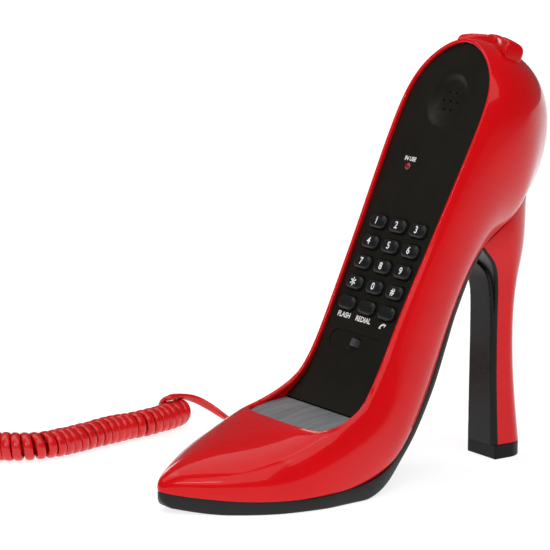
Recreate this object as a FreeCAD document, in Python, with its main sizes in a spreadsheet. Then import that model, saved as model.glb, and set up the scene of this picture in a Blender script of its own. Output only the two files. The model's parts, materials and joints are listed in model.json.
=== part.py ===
"""A one-piece telephone in the shape of a high-heeled court shoe.

Millimetres, +Z up, +Y towards the heel, the toe towards -Y and X across the shoe; the shoe is symmetric about
X = 0 except for the line jack and its cord, which are on the -X side. The origin is on the ground, in the
middle of the shoe's footprint.

The upper is one skin stretched between two closed lines: the rim round the opening and the feather line where
the upper meets the sole. The faceplate has a frame of its own: x across, y up the face and z out of it.
"""
import FreeCAD, Part
import math
import os
import Sketcher
from FreeCAD import Placement, Rotation, Vector

DIMENSIONS = {
    # shells
    "upper_wall": 2.6, "heel_wall": 2.4, "shell_gap": 0.3, "footbed_gap": 1.4, "seam_rise": 0.6,
    # faceplate frame: the point under the middle of key 5 and the slope of the face
    "face_y": 19.0, "face_z": 113.2, "face_slope": 64.3,
    "face_thickness": 2.5, "face_flat_end": 62.0, "face_low_end": 85.0, "face_curl": 71.0,
    # earpiece
    "dish_height": 77.5, "dish_radius": 14.0, "dish_floor": 10.5, "dish_depth": 1.8, "dish_lip": 2.0,
    "dish_back_radius": 17.0, "dish_back": 4.8, "sound_hole_radius": 0.65, "sound_ring": 5.2,
    # keys
    "key_pitch_x": 16.2, "key_pitch_y": 10.7, "key_width": 12.8, "key_length": 7.2, "key_rise": 2.3,
    "key_corner": 2.9, "key_dome": 1.3, "key_gap": 0.3, "key_flange": 0.9, "key_flange_thickness": 0.8,
    # lamp and slide switch
    "lamp_x": 11.0, "lamp_y": 41.0, "lamp_radius": 1.9, "lamp_hole": 2.1,
    "switch_y": 50.2, "switch_plate_width": 42.0, "switch_plate_length": 9.5, "switch_plate_depth": 0.4,
    "switch_window_width": 7.4, "switch_window_length": 4.8, "knob_width": 3.4, "knob_length": 4.0,
    # circuit board
    "board_width": 49.0, "board_low": 62.0, "board_high": 46.0, "board_thickness": 1.6, "board_top": 6.4,
    "mat_thickness": 1.0, "mat_bump": 3.0, "mat_bump_height": 0.3,
    "boss_x": 19.0, "boss_low": 58.0, "boss_high": 43.0, "boss_radius": 2.6, "screw_radius": 1.1,
    # posts that the outsole's rear screws bite into
    "post_x": 12.0, "post_y": 68.0, "post_radius": 3.2,
    # capsules
    "speaker_radius": 15.0, "speaker_thickness": 5.0, "gasket_thickness": 0.8, "gasket_bore": 12.0,
    "mic_y": 75.0, "mic_radius": 4.9, "mic_thickness": 5.0, "mic_depth": 7.0, "mic_boot": 6.4,
    "ringer_y": 27.0, "ringer_radius": 11.0, "ringer_thickness": 6.0,
    # heel
    "tip_height": 7.5, "tip_width": 22.6, "tip_front": 76.4, "tip_side": 87.2, "tip_back": 96.9,
    "breast_depth": 1.8, "panel_rise": 1.5, "panel_low": 7.5, "panel_high": 93.0, "panel_wide": 9.9,
    "panel_narrow": 8.5, "web_thickness": 3.5,
    "seat_thickness": 2.4, "seat_slope": 31.0,
    # forefoot
    "toe_screw_x": 17.0, "toe_screw_y": 60.0, "toe_boss_radius": 3.2,
    "ballast_front_width": 22.0, "ballast_back_width": 42.0, "ballast_front": 94.0, "ballast_back": 68.0,
    "ballast_thickness": 7.0, "ballast_floor": 7.6,
    # line jack, on the -X side of the waist
    "jack_y": -22.0, "jack_z": 17.0, "jack_width": 13.0, "jack_height": 11.0, "jack_depth": 17.0,
    "jack_face": 38.6, "plug_width": 7.7, "plug_height": 6.6, "plug_length": 13.0, "plug_in": 8.6,
    # curly cord
    "wire_diameter": 3.6, "curl_diameter": 14.5,
    # bow
    "bow_half_width": 20.0, "bow_depth": 12.0, "bow_lean": 3.0, "knot_width": 8.8, "knot_depth": 9.6,
    "knot_height": 4.6, "bow_y": 82.0, "bow_z": 208.3, "bow_slope": -24.0,
}

# The upper from the toe, station 0, to the back of the heel, station 12. Each station is one rib of the
# skin: a point on the rim, two points that the rib bends towards, and a point on the feather line; each is
# (half width, y, z).
STATIONS = [
    ((0, -50.6, 37.2), (0, -82, 28.6), (0, -118, 23.5), (0, -114.3, 10)),
    ((10, -50.5, 37.2), (13, -81, 28.6), (13, -111, 22.5), (9, -107.5, 8.5)),
    ((22.3, -49.4, 37), (25, -73, 28.6), (25, -99, 20), (19, -96.5, 7.2)),
    ((31.3, -44.8, 36.7), (33.3, -60, 30.2), (34, -83, 18), (29.3, -81.5, 6.2)),
    ((32.3, -34, 38.8), (37, -43, 35.6), (42, -57, 18), (38, -56, 6)),
    ((31, -20, 46.5), (36, -22, 42), (41, -24, 21), (36, -22, 8.3)),
    ((29.8, -8, 62), (34, -1, 53), (36, 2, 30), (29.6, 5, 21)),
    ((29.8, 4, 87), (34, 12, 82), (34, 22, 64), (25, 26, 53)),
    ((31.1, 17, 113.5), (35, 27, 110), (33, 42, 98), (21.5, 43, 88.5)),
    ((33, 31.5, 143.5), (38, 49, 138), (29, 68, 129), (17, 62, 110.3)),
    ((34.2, 45, 171.5), (41, 70, 166), (27, 88, 140), (16.3, 78.8, 122.4)),
    ((28, 58, 198), (35.5, 96, 194), (15.5, 103, 149), (11.6, 90.8, 129.8)),
    ((0, 65, 213), (0, 116, 205), (0, 122, 158), (0, 100, 132.2)),
]
LAST = len(STATIONS) - 1

# Underside of the outsole in the middle of the shoe, (y, z) from the toe to the heel breast.
UNDERSIDE = (
    [(-114.3, 3.6), (-104, 1.2), (-92, 0)],
    [(-22, 0), (-13.4, 2.3), (-5.2, 6.8), (4, 14.6), (12, 23), (18.4, 31.8), (24, 40.9), (28.9, 50),
     (33.1, 59.3), (37.3, 68.7), (41.6, 78), (46.8, 87.1), (52.4, 96.2), (59.6, 105)],
)

# Heel, level by level: (z, half width, front of the breast, end of the straight side, back).
HEEL_LEVELS = [
    (7.5, 11.0, 76.5, 87.2, 96.8), (24, 10.2, 76.4, 86, 95), (41, 9.6, 76.3, 85.2, 93.4),
    (58, 9.4, 76.3, 85, 92.5), (72, 9.6, 76.2, 85.1, 92.5), (84, 10.6, 75.7, 85, 93.2),
    (94, 12.3, 74, 84.2, 94.6), (103, 15, 69.2, 81.4, 96.4),
    (112, 17.2, 60.6, 76.6, 98), (122, 17.6, 56.8, 72, 99.2), (134, 17.4, 55, 67, 100.2),
]

# Routes along the table: the lead from the jack's plug to the top of the curls, the axis of the curls, and
# the lead from the top of their other end to its plug.
LEAD_ROUTE = [(-43, -22, 17), (-57, -21.5, 15), (-74, -15, 5.5), (-92, -5, 1.8), (-113, 3, 2.2),
              (-129, 2, 7.5), (-139, -8, 14.6), (-148, -18, 14.6)]
CURL_ROUTE = [(-142, -5, 7.3), (-129, -35, 7.3), (-127, -66, 7.3), (-118, -96, 7.3), (-118.5, -119, 7.3),
              (-136, -137, 7.3), (-162, -147, 7.3), (-186, -146, 7.3)]
END_ROUTE = [(-187, -147, 12.8), (-187.5, -134, 11), (-189, -118, 3.2), (-196, -102, 1.8), (-209, -90, 2.4),
             (-222, -84, 3.3)]

doc = FreeCAD.newDocument("shoe_telephone")
sheet = doc.addObject("Spreadsheet::Sheet", "Dimensions")
for row, (alias, value) in enumerate(DIMENSIONS.items(), start=1):
    sheet.set(f"A{row}", alias)
    sheet.set(f"B{row}", str(value))
    sheet.setAlias(f"B{row}", alias)
doc.recompute()
D = {alias: float(sheet.get(alias)) for alias in DIMENSIONS}
FACE = Placement(Vector(0, D["face_y"], D["face_z"]), Rotation(Vector(1, 0, 0), D["face_slope"]))
parts = []


# ---------------------------------------------------------------- document helpers
def named(obj, label, placement=None):
    """Registers an object as the sub-part with this label."""
    obj.Label = label
    if placement is not None:
        obj.Placement = placement
    parts.append(obj)
    return obj


def coded(label, shape, placement=None):
    """A sub-part whose shape is worked out in code from the sheet's values."""
    obj = doc.addObject("Part::Feature", label)
    obj.Shape = shape
    return named(obj, label, placement)


def new_body(label, placement=None):
    body = doc.addObject("PartDesign::Body", label)
    return named(body, label, placement)


def plane_of(body, role):
    return next(f for f in body.Origin.OriginFeatures if f.Role == role)


def sketch_in(body, name, height="0", role="XY_Plane"):
    sketch = body.newObject("Sketcher::SketchObject", name)
    sketch.AttachmentSupport = [(plane_of(body, role), "")]
    sketch.MapMode = "FlatFace"
    sketch.setExpression("AttachmentOffset.Base.z", height)
    return sketch


def add_polygon(sketch, corners):
    """Straight-sided closed outline; corners are pairs of expressions."""
    first = sketch.GeometryCount
    count = len(corners)
    start = [Vector(math.cos(6.28 * i / count), math.sin(6.28 * i / count), 0) * 9 for i in range(count)]
    for i in range(count):
        sketch.addGeometry(Part.LineSegment(start[i], start[(i + 1) % count]))
    for i in range(count):
        sketch.addConstraint(Sketcher.Constraint("Coincident", first + i, 2, first + (i + 1) % count, 1))
    for i, (x, y) in enumerate(corners):
        for kind, expression in (("DistanceX", x), ("DistanceY", y)):
            guess = start[i].x if kind == "DistanceX" else start[i].y
            at = sketch.addConstraint(Sketcher.Constraint(kind, -1, 1, first + i, 1, guess))
            sketch.setExpression(f"Constraints[{at}]", expression)


def add_rectangle(sketch, width, length, x="0", y="0"):
    half_w, half_l = f"({width}) / 2", f"({length}) / 2"
    add_polygon(sketch, [(f"{x} - {half_w}", f"{y} - {half_l}"), (f"{x} + {half_w}", f"{y} - {half_l}"),
                         (f"{x} + {half_w}", f"{y} + {half_l}"), (f"{x} - {half_w}", f"{y} + {half_l}")])


def add_circle(sketch, radius, x="0", y="0"):
    at = sketch.addGeometry(Part.Circle(Vector(1, 1, 0), Vector(0, 0, 1), 2))
    for kind, start, expression in (("DistanceX", 1, x), ("DistanceY", 1, y)):
        index = sketch.addConstraint(Sketcher.Constraint(kind, -1, 1, at, 3, start))
        sketch.setExpression(f"Constraints[{index}]", expression)
    index = sketch.addConstraint(Sketcher.Constraint("Radius", at, 2))
    sketch.setExpression(f"Constraints[{index}]", radius)


def pad(body, sketch, length, down=False):
    feature = body.newObject("PartDesign::Pad", "Pad")
    feature.Profile = sketch
    feature.setExpression("Length", length)
    feature.Reversed = down
    doc.recompute()
    return feature


def pocket(body, sketch, length, up=False):
    """A pocket that has to take something away."""
    before = body.Shape.Volume
    feature = body.newObject("PartDesign::Pocket", "Pocket")
    feature.Profile = sketch
    feature.setExpression("Length", length)
    feature.Reversed = up
    doc.recompute()
    if body.Shape.Volume > before - 0.01:
        raise RuntimeError(f"{body.Label}: a pocket cut nothing")
    return feature


def rounded(body, feature, wanted, radius):
    """Fillets the edges of the feature that wanted() picks."""
    edges = [f"Edge{i}" for i, e in enumerate(feature.Shape.Edges, start=1) if wanted(e)]
    fillet = body.newObject("PartDesign::Fillet", "Fillet")
    fillet.Base = (feature, edges)
    fillet.setExpression("Radius", radius)
    doc.recompute()
    return fillet


def upright(edge):
    span = edge.BoundBox
    return span.ZLength > 0.1 and span.XLength < 0.01 and span.YLength < 0.01


def turned(body, profile, role="XZ_Plane"):
    """Revolves a straight-sided profile of (radius, height) expressions about the body's Z axis."""
    sketch = sketch_in(body, "Profile", role=role)
    add_polygon(sketch, profile)
    feature = body.newObject("PartDesign::Revolution", "Revolution")
    feature.Profile = sketch
    feature.ReferenceAxis = (sketch, ["V_Axis"])
    feature.Angle = 360
    doc.recompute()
    return feature


# ---------------------------------------------------------------- geometry helpers
def spline(points, closed=False):
    curve = Part.BSplineCurve()
    curve.interpolate(Points=[Vector(p) for p in points], PeriodicFlag=closed)
    return curve


def profile_face(edges):
    edges = [e if isinstance(e, Part.Edge) else e.toShape() for e in edges]
    return Part.Face(Part.Wire(Part.__sortEdges__(edges)))


def line(a, b):
    return Part.LineSegment(Vector(a), Vector(b)).toShape()


def box_at(x, y, z, width, length, height):
    """A box centred on x, y whose floor is at z."""
    return Part.makeBox(width, length, height, Vector(x - width / 2, y - length / 2, z))


def rounded_box(x, y, z, width, length, height, corner):
    block = box_at(x, y, z, width, length, height)
    return block.makeFillet(corner, [e for e in block.Edges if upright(e)])


def cylinder(x, y, z, radius, height):
    return Part.makeCylinder(radius, height, Vector(x, y, z))


def rib_points():
    """The four rows of points that the skin bends towards, each right round the shoe and closed."""
    rows = []
    for k in range(4):
        near = [Vector(*s[k]) for s in STATIONS]
        far = [Vector(-p.x, p.y, p.z) for p in near[LAST - 1:0:-1]]
        rows.append(near + far)
    return rows


def skin(rows):
    """The surface whose ribs are Bezier curves, smooth right round the shoe."""
    count = len(rows[0])
    curves = []
    for row in rows:
        curve = Part.BSplineCurve()
        curve.interpolate(Points=row, PeriodicFlag=True, Parameters=[float(i) for i in range(count + 1)])
        curves.append(curve)
    first = curves[0]
    poles = [[c.getPole(i + 1) for c in curves] for i in range(first.NbPoles)]
    surface = Part.BSplineSurface()
    surface.buildFromPolesMultsKnots(poles, first.getMultiplicities(), [4, 4], first.getKnots(), [0.0, 1.0],
                                     True, False, 3, 3)
    return surface


def inset(rows, surface, depth):
    """The same rows, moved inwards by depth."""
    side = 1 if surface.normal(6, 0.5).x > 0 else -1
    moved = []
    for k, row in enumerate(rows):
        moved.append([p - surface.normal(i, k / 3.0) * (side * depth) for i, p in enumerate(row)])
    return moved


def solid_between(outer, inner):
    """The closed wall between two skins."""
    faces = [outer.toShape(), inner.toShape()]
    for v in (0.0, 1.0):
        faces.append(Part.makeRuledSurface(outer.vIso(v).toShape(), inner.vIso(v).toShape()))
    shell = Part.makeShell(faces)
    shell.sewShape()
    solid = Part.makeSolid(shell)
    if solid.Volume < 0:
        solid.reverse()
    return solid


def across(face, half_width=60.0):
    """A face in the plane X = 0, thickened right across the shoe."""
    solid = face.extrude(Vector(2 * half_width, 0, 0))
    solid.translate(Vector(-half_width, 0, 0))
    return solid


def reach(surface, start, direction, far=90.0):
    """How far from start, along direction, the surface is first met."""
    ray = Part.LineSegment(start, start + direction * far)
    hits, _ = ray.intersectCS(surface)
    return min(Vector(h.X, h.Y, h.Z).distanceToPoint(start) for h in hits)


def extruded_up(face, bottom, top):
    """A face in the plane Z = 0 made into a prism between two heights."""
    solid = face.extrude(Vector(0, 0, top - bottom))
    solid.translate(Vector(0, 0, bottom))
    return solid


def largest(shape):
    return max(shape.Solids, key=lambda s: s.Volume)


def copies(shape, placements):
    """Separate solids of one shape, in one sub-part."""
    return Part.makeCompound([shape.transformed(p.toMatrix(), True) for p in placements])


# ---------------------------------------------------------------- skins and the line where the sole begins
outer_skin = skin(rib_points())
inner_skin = skin(inset(rib_points(), outer_skin, D["upper_wall"]))
feather = [outer_skin.value(0.5 * i, 1.0) for i in range(2 * LAST + 1)]
feather_side = [(0, p.y - 0.5 * D["seam_rise"], p.z + 0.86 * D["seam_rise"]) for p in feather]
feather_curve = spline(feather_side)


def below_feather(drop=0.0):
    """Everything lower than the feather line, seen from the side."""
    start, end = Vector(feather_side[0]), Vector(feather_side[-1])
    front, back = Vector(0, -150, start.z), Vector(0, 150, end.z + 20)
    low_front, low_back = Vector(0, -150, -40), Vector(0, 150, -40)
    edges = [feather_curve.toShape(), line(end, back), line(back, low_back), line(low_back, low_front),
             line(low_front, front), line(front, start)]
    solid = across(profile_face(edges))
    solid.translate(Vector(0, drop * 0.5, -drop * 0.86))
    return solid


under = below_feather()


# ---------------------------------------------------------------- upper
def upper_shell():
    shell = solid_between(outer_skin, inner_skin).cut(under)
    for side in (-1, 1):
        foot = Vector(side * D["toe_screw_x"], -D["toe_screw_y"], 8)
        top = 8 + reach(inner_skin, foot, Vector(0, 0, 1)) + 1.0
        boss = cylinder(foot.x, foot.y, 0, D["toe_boss_radius"], top).cut(under)
        hole = cylinder(foot.x, foot.y, 0, D["screw_radius"] + 0.45, top - 4)
        shell = shell.fuse(boss).cut(hole)
    gap = 0.15
    opening = box_at(-D["jack_face"], D["jack_y"], D["jack_z"] - D["jack_height"] / 2 - gap, 30,
                     D["jack_width"] + 2 * gap, D["jack_height"] + 2 * gap)
    return largest(shell.cut(opening))


coded("upper_shell", upper_shell())


# ---------------------------------------------------------------- heel
def heel_loft(inwards=0.0):
    """The whole heel; inwards thins its sides and back."""
    wires = []
    for z, half, front, straight, back in HEEL_LEVELS:
        w, tail = half - inwards, back - inwards
        bend, bulge = w * 0.5523, (tail - straight) * 0.5523
        edges = [line((-w, front, z), (w, front, z)), line((w, front, z), (w, straight, z))]
        for side in (1, -1):
            quarter = Part.BezierCurve()
            quarter.setPoles([Vector(side * w, straight, z), Vector(side * w, straight + bulge, z),
                              Vector(side * bend, tail, z), Vector(0, tail, z)])
            edges.append(quarter.toShape())
        edges.append(line((-w, straight, z), (-w, front, z)))
        wires.append(Part.Wire(Part.__sortEdges__(edges)))
    return Part.makeLoft(wires, True, False, False, 3)


def breast_slab(depth):
    """Everything in front of the heel's front face and the given depth behind it."""
    points = [(0, front + depth, z) for z, half, front, straight, back in HEEL_LEVELS]
    low, high = Vector(points[0]), Vector(points[-1])
    far_low, far_high = Vector(0, 20, low.z), Vector(0, 20, high.z)
    edges = [spline(points).toShape(), line(high, far_high), line(far_high, far_low), line(far_low, low)]
    return across(profile_face(edges))


heel_solid = heel_loft().common(under)
slope = math.radians(D["seat_slope"])
seat_turn = Rotation(Vector(1, 0, 0), D["seat_slope"])
seat_point = feather_curve.value(feather_curve.parameter(Vector(0, 75.5, 119.2)))
seat_up = seat_turn.multVec(Vector(0, 0, 1))
SEAT = Placement(seat_point + seat_up * 1.6, seat_turn)
HEEL_SCREWS = [SEAT.multiply(Placement(Vector(0, along, 0), Rotation())) for along in (-7.0, 7.5)]


def heel_cover():
    shell = heel_solid.cut(breast_slab(D["breast_depth"]))
    hollow = heel_loft(D["heel_wall"]).common(below_feather(D["web_thickness"]))
    hollow = hollow.cut(box_at(0, 80, 0, 60, 90, 21))
    shell = shell.cut(hollow)
    for screw in HEEL_SCREWS:
        boss = Part.makeCylinder(3.0, 13)
        boss.Placement = screw.multiply(Placement(Vector(0, 0, -13), Rotation()))
        pilot = Part.makeCylinder(1.55, 30)
        pilot.Placement = screw.multiply(Placement(Vector(0, 0, -11), Rotation()))
        boss = boss.common(heel_solid).cut(breast_slab(D["breast_depth"]))
        shell = shell.fuse(boss).cut(pilot)
    shell = shell.cut(cylinder(0, 87, 0, 1.55, 17.5))
    return largest(shell)


def heel_breast():
    """The front of the heel, with a raised panel whose top is round."""
    slab = breast_slab(D["breast_depth"])
    low, high, wide, narrow = D["panel_low"], D["panel_high"], D["panel_wide"], D["panel_narrow"]
    top = Part.Arc(Vector(narrow, 0, high), Vector(0, 0, high + narrow), Vector(-narrow, 0, high))
    edges = [line((-wide, 0, low), (wide, 0, low)), line((wide, 0, low), (narrow, 0, high)), top.toShape(),
             line((-narrow, 0, high), (-wide, 0, low))]
    panel = slab.cut(breast_slab(0.0)).common(profile_face(edges).extrude(Vector(0, 90, 0)))
    panel.translate(Vector(0, -D["panel_rise"], 0))
    return largest(heel_solid.common(slab).fuse(panel))


coded("heel_cover", heel_cover())
coded("heel_breast", heel_breast())


# ---------------------------------------------------------------- outsole
def outsole_outline():
    """Plan of the sole: wider than the feather at the ball, along it through the waist."""
    ball = [(6, -110.6), (10.9, -105), (16.3, -99.3), (23, -91), (29.3, -81.5), (36, -66.5), (38.6, -55.5),
            (39.1, -44.5), (38.2, -34), (37.2, -22), (33.4, -6), (30, 3.6), (28.1, 11.2), (26.6, 18.2),
            (25.3, 24.8), (24, 31.5), (22.6, 38), (20.9, 45.1), (18.9, 53), (16.6, 62), (15.4, 66.5)]
    near = [Vector(x, y, 0) for x, y in ball]
    far = [Vector(-p.x, p.y, 0) for p in near]
    curve = Part.BSplineCurve()
    curve.interpolate(Points=far[::-1] + [Vector(0, -114.5, 0)] + near)
    return profile_face([curve.toShape(), line(near[-1], far[-1])])


def outsole():
    toe, waist = UNDERSIDE
    tail = waist + [(62.5, 108.2)]
    start, end = Vector(feather_side[0]), feather_curve.value(feather_curve.parameter(Vector(0, 66, 113)))
    low_toe = [Vector(0, y, z) for y, z in toe]
    low_waist = [Vector(0, y, z) for y, z in tail]
    top = feather_curve.copy()
    top.segment(top.FirstParameter, top.parameter(end))
    ahead = [Vector(0, -116, start.z), Vector(0, -116, low_toe[0].z + 0.2)]
    edges = [top.toShape(), line(start, ahead[0]), line(ahead[0], ahead[1]), line(ahead[1], low_toe[0]),
             spline(low_toe).toShape(), line(low_toe[-1], low_waist[0]), spline(low_waist).toShape(),
             line(low_waist[-1], end)]
    sole = across(profile_face(edges)).common(extruded_up(outsole_outline(), -5, 130)).cut(heel_solid)
    return largest(sole)


sole_plain = outsole()
POST_TURN = Rotation(Vector(1, 0, 0), D["face_slope"])


def sole_meets(start, direction):
    """Where a screw's line first meets the outsole."""
    path = Part.makeLine(start, start + direction * 80).common(sole_plain)
    return min((v.Point for v in path.Vertexes), key=lambda p: p.distanceToPoint(start))


face_in = POST_TURN.multVec(Vector(0, 0, -1))
POSTS = [FACE.multVec(Vector(side * D["post_x"], -D["post_y"], -2)) for side in (-1, 1)]
SOLE_SCREWS = [Placement(sole_meets(p, face_in), POST_TURN) for p in POSTS]
TOE_FEET = [Vector(side * D["toe_screw_x"], -D["toe_screw_y"], 8) for side in (-1, 1)]
SOLE_SCREWS += [Placement(sole_meets(p, Vector(0, 0, -1)), Rotation()) for p in TOE_FEET]


def outsole_drilled():
    sole = sole_plain
    for screw in SOLE_SCREWS:
        shank, head = Part.makeCylinder(1.55, 20), Part.makeCylinder(3.05, 20)
        shank.Placement = screw.multiply(Placement(Vector(0, 0, -10), Rotation()))
        head.Placement = screw.multiply(Placement(Vector(0, 0, -22), Rotation()))
        sole = sole.cut(shank).cut(head)
    return largest(sole)


coded("outsole", outsole_drilled())


# ---------------------------------------------------------------- faceplate
def on_face(x, y, out=0.0):
    return FACE.multVec(Vector(x, y, out))


def opening_reach(x, y, direction, depths):
    """How far the skin is from a point of the face, over the plate's thickness."""
    turn = FACE.Rotation
    return min(reach(inner_skin, on_face(x, y, out), turn.multVec(direction)) for out in depths)


def face_outline():
    gap, centre = D["shell_gap"], 84.0
    edge = []
    for y in (-88, -82, -74, -62, -48, -34, -17, 0, 17, 34, 51, 68):
        past = max(0.0, -y - D["face_flat_end"])
        curled = D["face_curl"] - math.sqrt(D["face_curl"] ** 2 - past ** 2)
        depths = (curled, curled - D["face_thickness"])
        edge.append(Vector(opening_reach(0, y, Vector(1, 0, 0), depths) - gap, y, 0))
    for angle in (0, 18, 36, 54, 72, 90):
        way = Vector(math.cos(math.radians(angle)), math.sin(math.radians(angle)), 0)
        edge.append(Vector(0, centre, 0) + way * (opening_reach(0, centre, way, (0, -2.5)) - gap))
    edge[-1].x = 0
    other = [Vector(-p.x, p.y, 0) for p in edge[-2::-1]]
    curve = Part.BSplineCurve()
    curve.interpolate(Points=edge + other)
    return profile_face([curve.toShape(), line(edge[0], other[-1])])


def key_hole(x, y, grow, bottom, top):
    width, length = D["key_width"] + 2 * grow, D["key_length"] + 2 * grow
    return rounded_box(x, y, bottom, width, length, top - bottom, D["key_corner"] + min(grow, 0.3))


KEYS = [("key_1", 0, 0), ("key_2", 1, 0), ("key_3", 2, 0),
        ("key_4", 0, 1), ("key_5", 1, 1), ("key_6", 2, 1),
        ("key_7", 0, 2), ("key_8", 1, 2), ("key_9", 2, 2),
        ("key_star", 0, 3), ("key_0", 1, 3), ("key_hash", 2, 3),
        ("key_flash", 0, 4), ("key_redial", 1, 4), ("key_talk", 2, 4)]


def key_place(column, row):
    return (column - 1) * D["key_pitch_x"], (1 - row) * D["key_pitch_y"]


def is_circle(edge, radius):
    return isinstance(edge.Curve, Part.Circle) and abs(edge.Curve.Radius - radius) < 0.01


def faceplate():
    thick, curl = D["face_thickness"], D["face_curl"]
    flat, low = -D["face_flat_end"], -D["face_low_end"]
    turn = math.asin((flat - low) / curl)

    def on_curl(radius, angle):
        return Vector(0, flat - radius * math.sin(angle), curl - radius * math.cos(angle))

    outer_arc = Part.Arc(on_curl(curl, 0), on_curl(curl, turn / 2), on_curl(curl, turn)).toShape()
    back = curl + thick
    inner_arc = Part.Arc(on_curl(back, 0), on_curl(back, turn / 2), on_curl(back, turn)).toShape()
    edges = [line((0, 115, 0), on_curl(curl, 0)), outer_arc, line(on_curl(curl, turn), on_curl(back, turn)),
             inner_arc, line(on_curl(back, 0), (0, 115, -thick)), line((0, 115, -thick), (0, 115, 0))]
    plate = across(profile_face(edges)).common(extruded_up(face_outline(), -12, 12))

    ear = D["dish_height"]
    plate = plate.fuse(cylinder(0, ear, -D["dish_back"], D["dish_back_radius"], D["dish_back"] - 0.5))
    rim = cylinder(0, ear, -9.0, D["dish_back_radius"], 5.0)
    rim = rim.cut(cylinder(0, ear, -9.0, D["speaker_radius"] + 0.05, 5.0))
    plate = plate.fuse(rim)
    dish = Part.makeCone(D["dish_floor"], D["dish_radius"], D["dish_depth"])
    dish.translate(Vector(0, ear, -D["dish_depth"]))
    plate = plate.cut(dish)
    lip = [e for e in plate.Edges if is_circle(e, D["dish_radius"])]
    plate = plate.makeFillet(D["dish_lip"], lip)
    holes = [(0.0, 0.0)]
    for i in range(6):
        angle = i * math.pi / 3
        holes.append((D["sound_ring"] * math.cos(angle), D["sound_ring"] * math.sin(angle)))
    for x, y in holes:
        plate = plate.cut(cylinder(x, ear + y, -8, D["sound_hole_radius"], 9))

    for side in (-1, 1):
        for y in (-D["boss_low"], D["boss_high"]):
            x = side * D["boss_x"]
            height = D["board_top"] - 1.0
            plate = plate.fuse(cylinder(x, y, -D["board_top"], D["boss_radius"], height))
            plate = plate.cut(cylinder(x, y, -D["board_top"] - 1, D["screw_radius"] + 0.05, 5.8))
    for name, column, line_number in KEYS:
        x, y = key_place(column, line_number)
        plate = plate.cut(key_hole(x, y, D["key_gap"], -5, 5))
    plate = plate.cut(cylinder(-D["lamp_x"], D["lamp_y"], -5, D["lamp_hole"], 10))
    recess = rounded_box(0, -D["switch_y"], -D["switch_plate_depth"], D["switch_plate_width"],
                         D["switch_plate_length"], 2, 4.7)
    window = rounded_box(0, -D["switch_y"], -5, D["switch_window_width"], D["switch_window_length"], 10, 0.6)
    plate = plate.cut(recess).cut(window)

    into_face = FACE.inverse()
    for side, screw in zip((-1, 1), SOLE_SCREWS):
        post = cylinder(side * D["post_x"], -D["post_y"], -45, D["post_radius"], 45 - 1.2)
        post = post.cut(under.transformed(into_face.toMatrix(), True))
        pilot = cylinder(side * D["post_x"], -D["post_y"], -50, 1.55, 31)
        plate = plate.fuse(post).cut(pilot)
    return largest(plate.removeSplitter())


coded("faceplate", faceplate(), FACE)


# ---------------------------------------------------------------- footbed panel below the faceplate
def footbed_panel():
    top = [(0, -21.0, 37.4), (0, -34, 36.0), (0, -46, 33.9), (0, -56, 31.6)]
    low = [(x, y + 0.1, z - 2.0) for x, y, z in top]
    edges = [spline(top).toShape(), line(top[-1], low[-1]), spline(low).toShape(), line(low[0], top[0])]
    side = []
    for (x, y, z) in [(0, -20, 37.5), (0, -27, 36.8)] + top[1:] + [(0, -57, 31.4)]:
        width = min(reach(inner_skin, Vector(0, y, z + dz), Vector(1, 0, 0)) for dz in (-0.5, -2))
        side.append(Vector(width - D["footbed_gap"], y, 0))
    other = [Vector(-p.x, p.y, 0) for p in side]
    outline = profile_face([spline(side).toShape(), line(side[-1], other[-1]), spline(other).toShape(),
                            line(other[0], side[0])])
    return largest(across(profile_face(edges)).common(extruded_up(outline, 0, 60)))


coded("footbed_panel", footbed_panel())


# ---------------------------------------------------------------- keys
def make_key(label, column, line_number):
    x, y = key_place(column, line_number)
    body = new_body(label, FACE.multiply(Placement(Vector(x, y, 0), Rotation())))
    cap = sketch_in(body, "Cap", "-Dimensions.face_thickness - Dimensions.key_gap")
    add_rectangle(cap, "Dimensions.key_width", "Dimensions.key_length")
    block = pad(body, cap, "Dimensions.face_thickness + Dimensions.key_gap + Dimensions.key_rise")
    soft = rounded(body, block, upright, "Dimensions.key_corner")
    top = D["key_rise"] - 0.01
    rounded(body, soft, lambda e: e.BoundBox.ZMin > top, "Dimensions.key_dome")
    flange = sketch_in(body, "Flange", "-Dimensions.face_thickness - Dimensions.key_gap")
    add_rectangle(flange, "Dimensions.key_width + 2 * Dimensions.key_flange",
                  "Dimensions.key_length + 2 * Dimensions.key_flange")
    pad(body, flange, "Dimensions.key_flange_thickness", down=True)


for name, column, line_number in KEYS:
    make_key(name, column, line_number)


# ---------------------------------------------------------------- electronics behind the faceplate
def at_face(x, y, out, turn=None):
    return FACE.multiply(Placement(Vector(x, y, out), turn or Rotation()))


def keypad_mat():
    body = new_body("keypad_mat", at_face(0, 0, -D["board_top"]))
    sheet_sketch = sketch_in(body, "Sheet")
    add_rectangle(sheet_sketch, "2 * Dimensions.key_pitch_x + Dimensions.key_width",
                  "4 * Dimensions.key_pitch_y + Dimensions.key_length", y="-Dimensions.key_pitch_y")
    pad(body, sheet_sketch, "Dimensions.mat_thickness")
    bumps = sketch_in(body, "Bumps")
    for name, column, line_number in KEYS:
        add_circle(bumps, "Dimensions.mat_bump", f"({column} - 1) * Dimensions.key_pitch_x",
                   f"(1 - {line_number}) * Dimensions.key_pitch_y")
    pad(body, bumps, "Dimensions.mat_thickness + Dimensions.mat_bump_height")


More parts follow.
